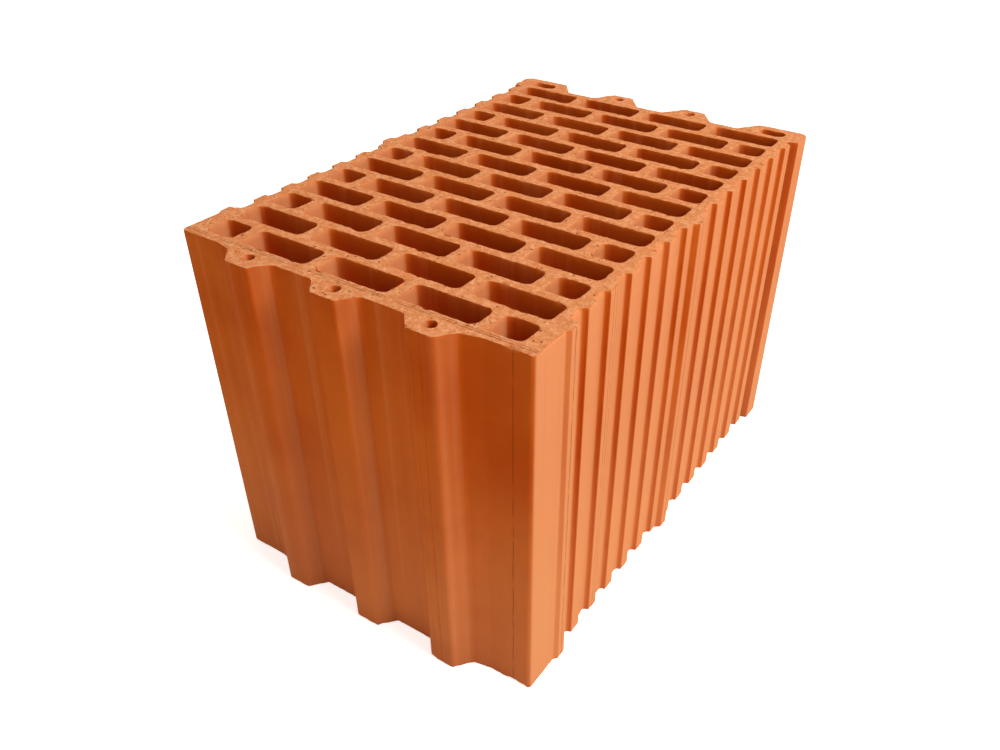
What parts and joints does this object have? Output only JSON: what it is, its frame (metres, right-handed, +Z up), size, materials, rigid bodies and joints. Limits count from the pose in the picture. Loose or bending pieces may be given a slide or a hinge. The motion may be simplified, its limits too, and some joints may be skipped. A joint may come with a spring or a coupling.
{
  "type": "hollow clay block",
  "caption": "Vertically perforated fired clay wall block with rows of oblong cells, ribbed plaster faces, and tongues and grooves at the head joints.",
  "frame": {"origin": "centre of the overall box, on the underside", "axes": "+Z up along the cells, +Y along the wall towards the grooved end, X through the wall"},
  "size_m": [0.25, 0.3866, 0.249],
  "materials": {
    "fired_clay": "matt, porous, unglazed"
  },
  "bodies": {
    "root": {"clay_block": "fired_clay"}
  },
  "joints": []
}
